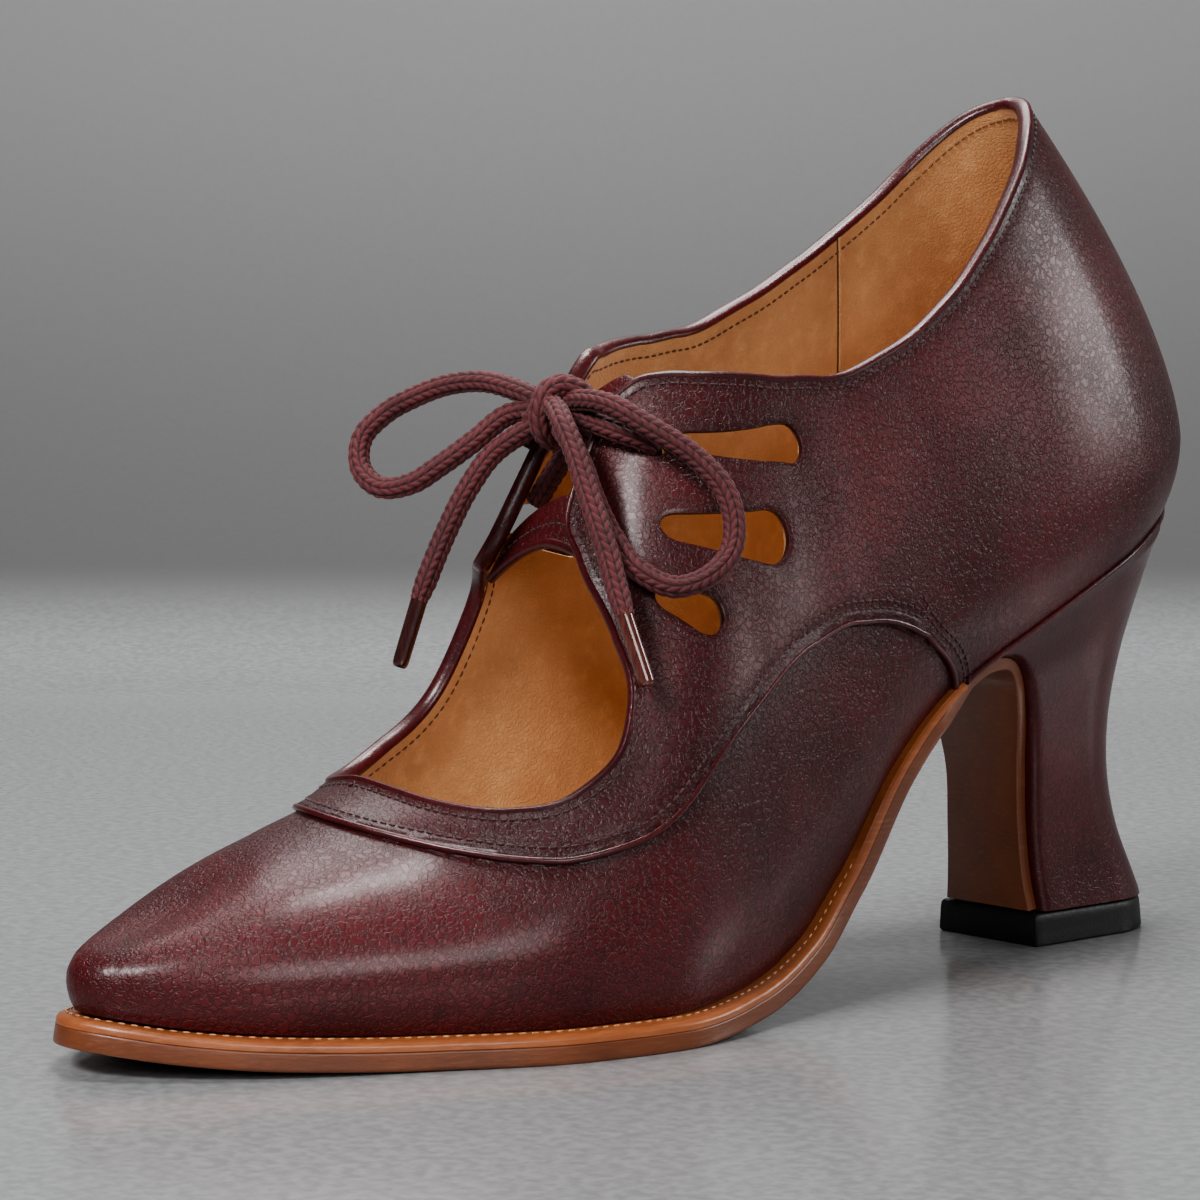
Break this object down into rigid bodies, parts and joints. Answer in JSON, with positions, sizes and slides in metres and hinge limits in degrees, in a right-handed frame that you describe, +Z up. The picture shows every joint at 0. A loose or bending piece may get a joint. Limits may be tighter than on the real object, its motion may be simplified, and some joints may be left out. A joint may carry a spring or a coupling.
{
  "type": "heeled lace-up shoe",
  "caption": "Leather lace-up shoe with a keyhole throat, side cut-outs, a bevelled welt and a waisted covered heel; stands empty on its sole and heel.",
  "frame": {"origin": "on the floor, at the middle of the bounding box of the shoe without the free lace", "axes": "+Z up; -Y toward the toe, +Y toward the back of the heel; +X toward the outer side of a left shoe"},
  "size_m": [0.0741, 0.224, 0.148],
  "materials": {
    "upper_leather": "burgundy grained leather, semi-gloss",
    "heel_cover_leather": "burgundy leather drawn tight over the heel block, semi-gloss",
    "lining_leather": "tan leather, matt",
    "welt_leather": "tan leather with a burnished, bevelled edge",
    "sole_leather": "brown sole leather with a burnished edge",
    "lift_rubber": "black rubber, matt",
    "lace_cord": "burgundy braided cotton cord",
    "aglet_plastic": "dark red-brown lace tip"
  },
  "bodies": {
    "root": {"upper": "upper_leather", "tongue_bar_lower": "upper_leather", "tongue_bar_upper": "upper_leather", "insole": "lining_leather", "welt": "welt_leather", "outsole": "sole_leather", "heel": "heel_cover_leather", "top_lift": "lift_rubber", "lace_crossing": "lace_cord", "lace_knot": "lace_cord", "lace_run_outer": "lace_cord", "lace_run_inner": "lace_cord", "lace_loop_outer": "lace_cord", "lace_loop_inner": "lace_cord", "lace_end_outer": "lace_cord", "lace_end_inner": "lace_cord", "aglet_outer": "aglet_plastic", "aglet_inner": "aglet_plastic"}
  },
  "joints": []
}
